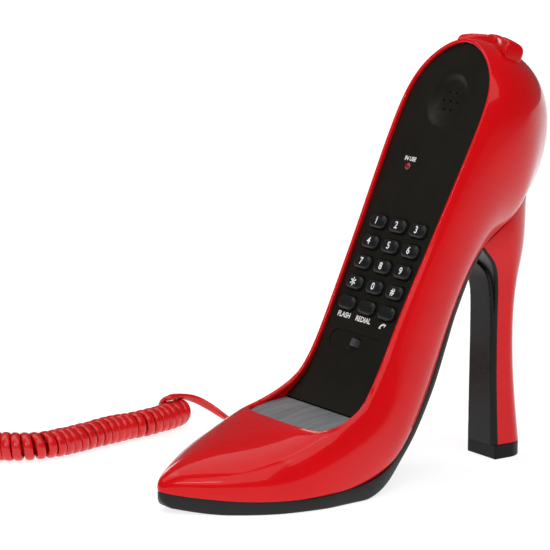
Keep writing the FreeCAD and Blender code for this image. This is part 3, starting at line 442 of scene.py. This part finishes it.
def eased(path, near, width, rounds=30):
    """Smooths the path for a short way on both sides of a joint."""
    weight = np.clip(1 - np.abs(steps_along(path) - near) / width, 0, 1)[1:-1, None]
    for _ in range(rounds):
        middle = (path[:-2] + path[2:]) / 2
        path[1:-1] += (middle - path[1:-1]) * weight * 0.9
    return path


def cord_path():
    """The whole wire, joined smoothly: points and the direction of the wide side."""
    turns = curls()
    path, joints = straight_stretch(LEAD_ROUTE, turns[0, 3:], LEAD_TWIST), []
    for stretch in (turns, straight_stretch(END_ROUTE, turns[-1, 3:])):
        joints.append(steps_along(path)[-1])
        path = np.vstack([path, stretch])
    path = even(path, 0.7)
    for joint in joints:
        path = eased(path, joint, 9)
    return even(path, 1.0)


def flat_wire_rings(path, sides=14):
    """Oval rings round the path, wide along the carried direction."""
    ahead = np.gradient(path[:, :3], axis=0)
    ahead /= np.linalg.norm(ahead, axis=1)[:, None]
    rings = []
    for point, way, wide in zip(path[:, :3], ahead, path[:, 3:]):
        wide = wide - way * np.dot(wide, way)
        wide /= np.linalg.norm(wide)
        thick = np.cross(way, wide)
        ring = []
        for k in range(sides):
            c, s = math.cos(2 * math.pi * k / sides), math.sin(2 * math.pi * k / sides)
            c = math.copysign(abs(c) ** 0.8, c)
            ring.append(point + wide * (WIRE_WIDE / 2 * c) + thick * (WIRE_THICK / 2 * s))
        rings.append(ring)
    return rings


def add_cord():
    path = cord_path()
    mesh = closed_loft("line_cord", flat_wire_rings(path))
    cord = add_piece("line_cord", mesh, "cord_red", SHOE, ("cord_lead", "cord_curls", "cord_end_lead"))


add_cord()


# ---------------------------------------------------------------- upper
# Ribs from the toe to the back of the heel: rim, two bends, feather line; each (half width, y, z).
STATIONS = [
    ((0, -50.6, 37.2), (0, -82, 28.6), (0, -118, 23.5), (0, -114.3, 10)),
    ((10, -50.5, 37.2), (13, -81, 28.6), (13, -111, 22.5), (9, -107.5, 8.5)),
    ((22.3, -49.4, 37), (25, -73, 28.6), (25, -99, 20), (19, -96.5, 7.2)),
    ((31.3, -44.8, 36.7), (33.3, -60, 30.2), (34, -83, 18), (29.3, -81.5, 6.2)),
    ((32.3, -34, 38.8), (37, -43, 35.6), (42, -57, 18), (38, -56, 6)),
    ((31, -20, 46.5), (36, -22, 42), (41, -24, 21), (36, -22, 8.3)),
    ((29.8, -8, 62), (34, -1, 53), (36, 2, 30), (29.6, 5, 21)),
    ((29.8, 4, 87), (34, 12, 82), (34, 22, 64), (25, 26, 53)),
    ((31.1, 17, 113.5), (35, 27, 110), (33, 42, 98), (21.5, 43, 88.5)),
    ((33, 31.5, 143.5), (38, 49, 138), (29, 68, 129), (17, 62, 110.3)),
    ((34.2, 45, 171.5), (41, 70, 166), (27, 88, 140), (16.3, 78.8, 122.4)),
    ((28, 58, 198), (35.5, 96, 194), (15.5, 103, 149), (11.6, 90.8, 129.8)),
    ((0, 65, 213), (0, 116, 205), (0, 122, 158), (0, 100, 132.2)),
]
WALL, RIM_TUCK, LIP_RISE = 2.6, 0.8, 0.8
# How much the toe's tip is drawn out, where that begins, and how long the drawn-out part is.
TOE_REACH, TOE_START, TOE_LENGTH = 1.7, -96, 18.5


def all_ribs():
    near = np.array(STATIONS, float)
    far = near[-2:0:-1] * (-1, 1, 1)
    return np.concatenate([near, far])


rib_at = periodic_spline(all_ribs())
RIBS = 2 * (len(STATIONS) - 1)


def skin(t, v):
    """Points of the outer skin: t runs right round the shoe, v from the rim, 0, to the feather line, 1."""
    ribs = rib_at(t)[None]
    v = np.asarray(v, float)[:, None, None]
    return ((1 - v) ** 3 * ribs[:, :, 0] + 3 * v * (1 - v) ** 2 * ribs[:, :, 1]
            + 3 * v * v * (1 - v) * ribs[:, :, 2] + v ** 3 * ribs[:, :, 3])


def skin_frame(t, v):
    """Points, outward normals and the direction up the ribs."""
    step = 0.002
    points = skin(t, v)
    low, high = np.clip(np.asarray(v) - step, 0, 1), np.clip(np.asarray(v) + step, 0, 1)
    down = skin(t, high) - skin(t, low)
    along = skin(t + step, v) - skin(t - step, v)
    normals = np.cross(down, along)
    normals /= np.linalg.norm(normals, axis=2)[:, :, None]
    up = -down / np.linalg.norm(down, axis=2)[:, :, None]
    side = len(t) // 4
    if normals[len(v) // 2, side, 0] * points[len(v) // 2, side, 0] < 0:
        normals = -normals
    return points, normals, up


def toe_reach(y):
    """How far the toe's tip is drawn out forward of the design's plain curve."""
    return TOE_REACH * np.clip((TOE_START - y) / TOE_LENGTH, 0, 1) ** 2


def add_upper():
    t = np.arange(0, RIBS, 1 / 14)
    v = np.linspace(1, 0, 57)
    points, normals, up = skin_frame(t, v)
    tuck = np.clip((v - 0.985) / 0.015, 0, 1)[:, None, None] ** 2
    thin = RIM_TUCK * np.clip(1 - v / 0.1, 0, 1)[:, None, None] ** 2
    outer = points - normals * (0.5 * tuck + thin)
    rim, rim_normal, rim_up = outer[-1], normals[-1], up[-1]
    half = (WALL - RIM_TUCK) / 2
    lip = []
    for k in range(1, 10):
        a = math.pi * k / 10
        lip.append(rim - rim_normal * half * (1 - math.cos(a)) + rim_up * LIP_RISE * math.sin(a))
    inner_v = np.linspace(0, 1, 26)
    points, normals, up = skin_frame(t, inner_v)
    inner = points - normals * WALL
    rows = np.concatenate([outer, np.array(lip), inner])
    rows[..., 1] -= toe_reach(rows[..., 1])
    count, around = rows.shape[:2]
    faces = grid_faces(count, around, wrap=True)
    last = (count - 1) * around
    faces += [(last + c, last + (c + 1) % around, (c + 1) % around, c) for c in range(around)]
    mesh = smooth_mesh("upper", rows.reshape(-1, 3), faces, 60)
    add_piece("upper", mesh, "red_gloss", SHOE, ("upper_shell",))


add_upper()

# ---------------------------------------------------------------- outsole
SEAM_RISE = 0.5
SOLE_ROUND = 1.3
# The sole's front edge: where its round begins, how long that is, and the thickness left at the tip.
FRONT_START, FRONT_LENGTH, FRONT_THICKNESS = -110.5, 4.0, 1.4
feather = skin(np.linspace(0, RIBS / 2, 97), [1.0])[0]
seam_height = open_spline(feather[:, 1], feather[:, 2] + SEAM_RISE)
# Height of the underside in the middle, each (y, z) from the toe; then the sole's plan, each (half width, y).
UNDERSIDE = [(-114.3, 3.6), (-104, 1.2), (-92, 0), (-70, 0), (-46, 0), (-22, 0), (-13.4, 2.3), (-5.2, 6.8),
             (4, 14.6), (12, 23), (18.4, 31.8), (24, 40.9), (28.9, 50), (33.1, 59.3), (37.3, 68.7),
             (41.6, 78), (46.8, 87.1), (52.4, 96.2), (59.6, 105), (62.5, 108.2)]
underside = open_spline(*zip(*UNDERSIDE))
SOLE_EDGE = [(0, -114.5), (6, -110.6), (10.9, -105), (16.3, -99.3), (23, -91), (29.3, -81.5), (36, -66.5),
             (38.6, -55.5), (39.1, -44.5), (38.2, -34), (37.2, -22), (33.4, -6), (30, 3.6), (28.1, 11.2),
             (26.6, 18.2), (25.3, 24.8), (24, 31.5), (22.6, 38), (20.9, 45.1), (18.9, 53), (16.6, 62)]


def sole_edge():
    """Half width against place along the sole, through the same plan points from the toe round one side."""
    points = np.array(SOLE_EDGE, float)
    steps = np.r_[0, np.cumsum(np.linalg.norm(np.diff(points, axis=0), axis=1))]
    mirrored = np.vstack([points[1:4][::-1] * (-1, 1), points])
    at = np.r_[-steps[1:4][::-1], steps]
    curve = open_spline(at, mirrored)
    samples = curve(np.linspace(0, steps[-1], 260))
    samples[0] = points[0]
    return samples


def add_outsole():
    rings = []
    for half, y in sole_edge():
        half = max(half, 0.05)
        low, high = max(float(underside(y)), 0.0), float(seam_height(y))
        curve = min(max((FRONT_START - y) / FRONT_LENGTH, 0.0), 1.0)
        low += (high - FRONT_THICKNESS - low) * (1 - math.sqrt(1 - curve ** 2))
        high = max(high, low + 1.2)
        soft = min(SOLE_ROUND, half * 0.45, (high - low) * 0.4)
        lip = min(0.5, soft)
        side = [(half - lip, high), (half - 0.2 * lip, high - 0.2 * lip), (half, high - lip),
                (half, low + soft), (half - 0.3 * soft, low + 0.3 * soft), (half - soft, low)]
        y -= toe_reach(y)
        ring = [(x, y, z) for x, z in side] + [(-x, y, z) for x, z in side[::-1]]
        rings.append(ring)
    mesh = closed_loft("outsole_edge", rings, 50)
    add_piece("sole", mesh, "black_sole", SHOE, ("outsole",))


add_outsole()

# ---------------------------------------------------------------- heel
# Level by level: z, half width, front of the breast, end of the straight side, back.
HEEL_LEVELS = np.array([
    (7.5, 11.0, 76.5, 87.2, 96.8), (24, 10.2, 76.4, 86, 95), (41, 9.6, 76.3, 85.2, 93.4),
    (58, 9.4, 76.3, 85, 92.5), (72, 9.6, 76.2, 85.1, 92.5), (84, 10.6, 75.7, 85, 93.2),
    (94, 12.3, 74, 84.2, 94.6), (103, 15, 69.2, 81.4, 96.4),
    (112, 17.2, 60.6, 76.6, 98), (122, 17.6, 56.8, 72, 99.2), (134, 17.4, 55, 67, 100.2),
])
heel_at = open_spline(HEEL_LEVELS[:, 0], HEEL_LEVELS[:, 1:])
HEEL_FOOT, COVER_WALL = 7.5, 2.4
# Share of the way round the heel's cover that each straight side takes.
STRAIGHT_SHARE = 0.28
BREAST_TOP, BREAST_DEPTH, BREAST_ROUND = 111.5, 1.8, 1.2
PANEL_HIGH, PANEL_WIDE, PANEL_NARROW, PANEL_RISE = 93.0, 9.9, 8.5, 1.5


def heel_side(q, z, inset=0.0):
    """Point of the heel's red cover: q from its near front edge, 0, round the back to the far one, 1."""
    half, front, straight, back = heel_at(np.array([z]))[0]
    front += BREAST_DEPTH
    half, back = half - inset, back - inset
    if q < STRAIGHT_SHARE or q > 1 - STRAIGHT_SHARE:
        along = min(q, 1 - q) / STRAIGHT_SHARE
        return (half if q < 0.5 else -half), front + (straight - front) * along
    a = math.pi * (q - STRAIGHT_SHARE) / (1 - 2 * STRAIGHT_SHARE)
    return half * math.cos(a), straight + (back - straight) * math.sin(a)


def heel_top(q, inset=0.0):
    """Height where the heel meets the upper's seam at q."""
    z = 125.0
    for _ in range(40):
        y = heel_side(q, z, inset)[1]
        z = 0.5 * z + 0.5 * float(seam_height(min(y, 99.9)))
    return z


def add_heel_cover():
    levels, around = 90, 121
    skins = []
    for inset in (0.0, COVER_WALL):
        tops = [heel_top(k / (around - 1), inset) for k in range(around)]
        grid = []
        for level in range(levels):
            share = level / (levels - 1)
            heights = [HEEL_FOOT + (top - HEEL_FOOT) * share for top in tops]
            grid.append([(*heel_side(k / (around - 1), heights[k], inset), heights[k]) for k in range(around)])
        skins.append(np.array(grid))
    outer, inner = skins
    # each level is one closed ring: along the outside and back along the inside
    rings = [np.concatenate([outer[i], inner[i, ::-1]]) for i in range(levels)]
    mesh = closed_loft("heel_cover", rings, 40)
    add_piece("heel_red", mesh, "red_gloss", SHOE, ("heel_cover",))


def add_breast():
    """The black front of the heel: a border and a raised panel with a rounded top."""
    levels, columns = 130, 61
    low, high = HEEL_FOOT, BREAST_TOP
    front_rows, back_rows = [], []
    for level in range(levels):
        z = low + (high - low) * level / (levels - 1)
        half, front = heel_at(np.array([z]))[0][:2]
        row, behind = [], []
        panel_half = PANEL_WIDE - (PANEL_WIDE - PANEL_NARROW) * (z - low) / (PANEL_HIGH - low)
        for column in range(columns):
            s = 2 * column / (columns - 1) - 1
            x = half * math.sin(s * math.pi / 2 * 0.98) / math.sin(math.pi / 2 * 0.98)
            inside = panel_half - math.hypot(abs(x), max(0.0, z - PANEL_HIGH))
            rise = PANEL_RISE * smooth_step(inside, -0.3, 0.7)
            corner = max(0.0, abs(x) - (half - BREAST_ROUND))
            rounded = BREAST_ROUND - math.sqrt(max(0.0, BREAST_ROUND ** 2 - corner ** 2))
            row.append((x, front - rise + rounded, z))
            behind.append((x, front + BREAST_DEPTH, z))
        front_rows.append(row)
        back_rows.append(behind)
    rings = [row + behind[::-1] for row, behind in zip(front_rows, back_rows)]
    trimmed = [[(x, y, min(z, float(seam_height(min(max(y, -100), 99.9))))) for x, y, z in ring]
               for ring in rings]
    mesh = closed_loft("breast", trimmed, 45)
    add_piece("breast", mesh, "black_gloss", SHOE, ("heel_breast",))


add_heel_cover()
add_breast()
refined("heel_tip", 0.5)

# ---------------------------------------------------------------- faceplate and what is on it
press = Vector(next(j for j in frame["record"]["behaviour"]["joints"] if j["name"] == "key_5_press")["axis"])
FACE_OUT = -press.normalized()
FACE_UP = FACE_OUT.cross(Vector((1, 0, 0)))
KEY_RISE = 2.3  # height of a key's top above the faceplate


def key_place(node):
    """Where a key stands on the face of the plate, from the extent of its CAD shape."""
    places = [vertex.co for vertex in frame["nodes"][node].data.vertices]
    middle = Vector((0, 0, 0))
    for way in (Vector((1, 0, 0)), FACE_UP):
        along = [place.dot(way) for place in places]
        middle += way * (min(along) + max(along)) / 2
    return middle + FACE_OUT * (max(place.dot(FACE_OUT) for place in places) - KEY_RISE * MM)


KEY_MIDDLE = key_place("key_5")


def on_face(x, y):
    """A place on the faceplate, in millimetres from key 5, as a point in metres."""
    return KEY_MIDDLE + (Vector((1, 0, 0)) * x + FACE_UP * y) * MM


def face_matrix(place):
    turn = Matrix((Vector((1, 0, 0)), FACE_UP, FACE_OUT)).transposed().to_4x4()
    return Matrix.Translation(place) @ turn


def key_outline(inset, count=64):
    """Rounded rectangle, drawn in by inset."""
    half_wide, half_long = KEY_HALF_WIDE - inset, KEY_HALF_LONG - inset
    corner = max(0.3, KEY_CORNER - inset)
    points = []
    for k in range(count):
        a = 2 * math.pi * (k + 0.5) / count
        x, y = math.cos(a), math.sin(a)
        points.append((math.copysign(half_wide - corner, x) + corner * x,
                       math.copysign(half_long - corner, y) + corner * y))
    return points


KEY_HALF_WIDE, KEY_HALF_LONG, KEY_CORNER = 6.4, 3.6, 3.4
# A key's side and domed top, each (inset, height).
KEY_PROFILE = [(0.0, -2.6), (0.0, 0.0), (0.03, 0.9), (0.18, 1.35), (0.5, 1.72), (0.95, 1.95), (1.5, 2.08),
               (2.2, 2.17), (3.0, 2.24), (3.4, 2.27)]


def add_key(node):
    middle = key_place(node)
    rings = [[(x, y, height) for x, y in key_outline(inset)] for inset, height in KEY_PROFILE]
    mesh = closed_loft(node + "_cap", rings, 70)
    mesh.transform(face_matrix(middle))
    add_piece(node + "_cap", mesh, "key_grey", node, (node,))
    return middle


def add_print(name, text, place, size, body, height=0.03):
    """White printing laid on a surface: flat letters turned into a thin mesh."""
    data = bpy.data.curves.new(name, "FONT")
    data.body = text
    data.size = size * MM
    data.align_x = "CENTER"
    data.align_y = "CENTER"
    data.resolution_u = 4
    data.offset = 0.0001
    holder = bpy.data.objects.new(name, data)
    mesh = bpy.data.meshes.new_from_object(holder)
    bpy.data.objects.remove(holder)
    for vertex in mesh.vertices:
        vertex.co.z = height * MM
    mesh.transform(face_matrix(place))
    piece = add_piece(name, mesh, "key_grey", body)
    mesh.materials.clear()
    mesh.materials.append(PRINT_WHITE)
    return piece


KEY_FIGURES = {"key_1": "1", "key_2": "2", "key_3": "3", "key_4": "4", "key_5": "5", "key_6": "6",
               "key_7": "7", "key_8": "8", "key_9": "9", "key_star": "*", "key_0": "0", "key_hash": "#"}
# The font's star is small and high, so it is set larger and lower: letter size and drop.
FIGURE_SIZE, STAR_SIZE, STAR_DROP = 5.0, 9.5, 1.9


def add_keys():
    for node, figure in KEY_FIGURES.items():
        middle, size = add_key(node), FIGURE_SIZE
        if figure == "*":
            middle, size = middle - FACE_UP * (STAR_DROP * MM), STAR_SIZE
        add_print(node + "_figure", figure, middle, size, node, KEY_RISE + 0.01)
    for node in ("key_flash", "key_redial", "key_talk"):
        add_key(node)


add_keys()
add_print("flash_label", "FLASH", on_face(-16.4, -38.3), 3.7, SHOE)
add_print("redial_label", "REDIAL", on_face(-0.6, -38.3), 3.7, SHOE)
add_print("in_use_label", "IN USE", on_face(-11.2, 44.9), 3.0, SHOE)


def add_handset_sign():
    """Small sign of a handset: an arc with two thick ends."""
    rings = []
    for k in range(25):
        share = k / 24
        a = math.radians(150 - 120 * share)
        wide = 0.45 + 0.75 * max(0.0, abs(2 * share - 1) - 0.6) / 0.4
        centre = (2.7 * math.cos(a), 2.7 * math.sin(a) - 1.9)
        out = (math.cos(a), math.sin(a))
        inner = [centre[i] - out[i] * wide * 1.3 for i in (0, 1)]
        outer = [centre[i] + out[i] * 0.45 for i in (0, 1)]
        rings.append([(*inner, 0.0), (*outer, 0.0), (*outer, 0.03), (*inner, 0.03)])
    mesh = closed_loft("handset_sign", rings)
    mesh.transform(face_matrix(on_face(15.4, -38.6)) @ Matrix.Rotation(math.radians(25), 4, "Z"))
    piece = add_piece("handset_sign", mesh, "key_grey", SHOE)
    mesh.materials.clear()
    mesh.materials.append(PRINT_WHITE)


add_handset_sign()
refined("faceplate", 0.25, 30)
refined("footbed_panel", 0.3, 30)
refined("switch_knob", 0.15, 30)
refined("in_use_led", 0.2, 50)
refined("line_jack", 0.3, 30)

# ---------------------------------------------------------------- bow
BOW = Matrix.Translation(Vector((0, 82.0, 208.3)) * MM) @ Matrix.Rotation(math.radians(-24), 4, "X")
BOW_HALF_WIDTH, BOW_DEPTH, BOW_LEAN = 20.0, 12.0, 3.0
KNOT_HALF_WIDTH, KNOT_HALF_DEPTH, KNOT_HALF_HEIGHT, KNOT_RISE = 4.5, 4.5, 3.1, 1.5
# share of the way out, share of the depth, lowest and highest
BOW_LEVELS = np.array([(0.12, 0.5, -2.2, 3.4), (0.22, 0.62, -2.8, 3.9), (0.5, 0.82, -3.6, 3.6),
                       (0.76, 0.95, -6.0, 2.6), (1.0, 1.0, -8.4, 1.3)])
bow_at = open_spline(BOW_LEVELS[:, 0], BOW_LEVELS[:, 1:])


def add_bow_loop(side, node):
    """One loop: narrow at the knot, widening to its flat end, with folds running out of the knot."""
    rings = []
    rounded_end = 1 - 0.07 * np.cos(np.linspace(0.15, 0.5, 7) * math.pi)
    for share in np.r_[np.linspace(0.12, 0.93, 34), rounded_end]:
        wide, low, high = bow_at(np.array([share]))[0]
        turn_in = max(0.0, (share - 0.93) / 0.07)
        inset = 1.5 * (1 - math.sqrt(max(0.0, 1 - turn_in ** 2)))
        half_deep, half_tall = BOW_DEPTH * wide / 2 - inset, (high - low) / 2 - inset
        fold = 0.1 * (1 - smooth_step(share, 0.15, 0.75))
        ring = []
        for k in range(60):
            a = 2 * math.pi * k / 60
            c, s = math.cos(a), math.sin(a)
            crease = 1 - fold * (1 + math.cos(6 * a)) / 2
            along = math.copysign(abs(c) ** 0.7, c) * half_deep * crease - BOW_LEAN * share
            up = math.copysign(abs(s) ** 0.7, s) * half_tall * crease + (high + low) / 2
            ring.append((side * BOW_HALF_WIDTH * share, along, up))
        rings.append(ring)
    mesh = closed_loft(node + "_puff", rings, 75)
    mesh.transform(BOW)
    add_piece(node + "_puff", mesh, "red_gloss", SHOE, (node,))


def add_bow_knot():
    """The band round the middle, with rounded edges."""
    rings = []
    for share in np.linspace(0, 1, 33):
        x = KNOT_HALF_WIDTH * (2 * share - 1)
        inset = 1.7 * (1 - math.sqrt(1 - (2 * share - 1) ** 4))
        ring = []
        for k in range(60):
            c, s = math.cos(2 * math.pi * k / 60), math.sin(2 * math.pi * k / 60)
            along = math.copysign(abs(c) ** 0.6, c) * (KNOT_HALF_DEPTH - inset)
            up = math.copysign(abs(s) ** 0.6, s) * (KNOT_HALF_HEIGHT - inset) + KNOT_RISE
            ring.append((x, along, up))
        rings.append(ring)
    mesh = closed_loft("bow_knot_band", rings, 75)
    mesh.transform(BOW)
    add_piece("bow_knot_band", mesh, "red_gloss", SHOE, ("bow_knot",))


add_bow_loop(1, "bow_loop_right")
add_bow_loop(-1, "bow_loop_left")
add_bow_knot()

# ---------------------------------------------------------------- CAD nodes that stay as they are
for name, obj in frame["nodes"].items():
    material = MATERIALS.get(SLOT_OF[name])
    for index in range(len(obj.material_slots)):
        obj.material_slots[index].material = material


# ---------------------------------------------------------------- studio
def add_floor():
    """A pale floor that glows, most far behind the shoe and least on the camera's side, for a white picture."""
    bpy.ops.mesh.primitive_plane_add(size=12, location=(0, 0, 0))
    floor = bpy.context.object
    floor.name = "floor"
    material = new_material("floor_white", (0.4, 0.4, 0.4), 0.8, Specular_IOR_Level=0.0)
    vary_colour(material, noise_node(material, 3), (0.39, 0.39, 0.39), (0.41, 0.41, 0.41))
    nodes, links = material.node_tree.nodes, material.node_tree.links
    shader = nodes["Principled BSDF"]
    shader.inputs["Emission Color"].default_value = (1, 1, 1, 1)
    place, split = nodes.new("ShaderNodeTexCoord"), nodes.new("ShaderNodeSeparateXYZ")
    links.new(place.outputs["Object"], split.inputs["Vector"])
    glow = map_range(material, split.outputs["X"], 0.8, 0.15, 0.25, 0.8)
    far = map_range(material, split.outputs["X"], 0.3, 0.0, -1.7, -0.7)
    total = nodes.new("ShaderNodeMath")
    links.new(glow, total.inputs[0])
    links.new(far, total.inputs[1])
    links.new(total.outputs[0], shader.inputs["Emission Strength"])
    floor.data.materials.append(material)


def add_light(name, place, target, size, radiance):
    """A softbox; size is its width and height in metres, and it shines evenly with the given radiance."""
    data = bpy.data.lights.new(name, "AREA")
    data.shape = "RECTANGLE"
    data.size, data.size_y = size
    data.energy = radiance * math.pi * size[0] * size[1]
    light = bpy.data.objects.new(name, data)
    light.location = place
    aim(light, target)
    bpy.context.collection.objects.link(light)


def add_world():
    world = bpy.data.worlds.new("studio")
    world.use_nodes = True
    background = world.node_tree.nodes["Background"]
    background.inputs["Color"].default_value = (1, 1, 1, 1)
    background.inputs["Strength"].default_value = 0.1
    bpy.context.scene.world = world


add_floor()
add_world()
add_light("left_softbox", (-0.85, -1.2, 1.85), (0, 0, 0.1), (1.3, 1.3), 1.6)
add_light("camera_softbox", (1.6, -1.2, 1.4), (0, 0, 0.1), (1.6, 1.6), 1.65)
add_light("upper_softbox", (1.2, 0.15, 1.5), (0, 0.02, 0.1), (1.0, 1.2), 1.8)
add_light("top_softbox", (-0.25, -0.3, 2.2), (-0.25, -0.3, 0), (2.7, 1.4), 1.65)
add_light("left_strip", (-1.9, 0.35, 0.4), (0, 0.05, 0.18), (0.3, 0.6), 2.5)
add_light("rim_strip", (-1.2, 0.7, 1.3), (0, 0, 0.12), (0.06, 0.8), 3.0)
add_light("toe_lamp", (0.85, -1.28, 0.85), (0.02, -0.1, 0.02), (0.4, 0.1), 12.0)
scene = bpy.context.scene
scene.view_settings.view_transform = "Standard"
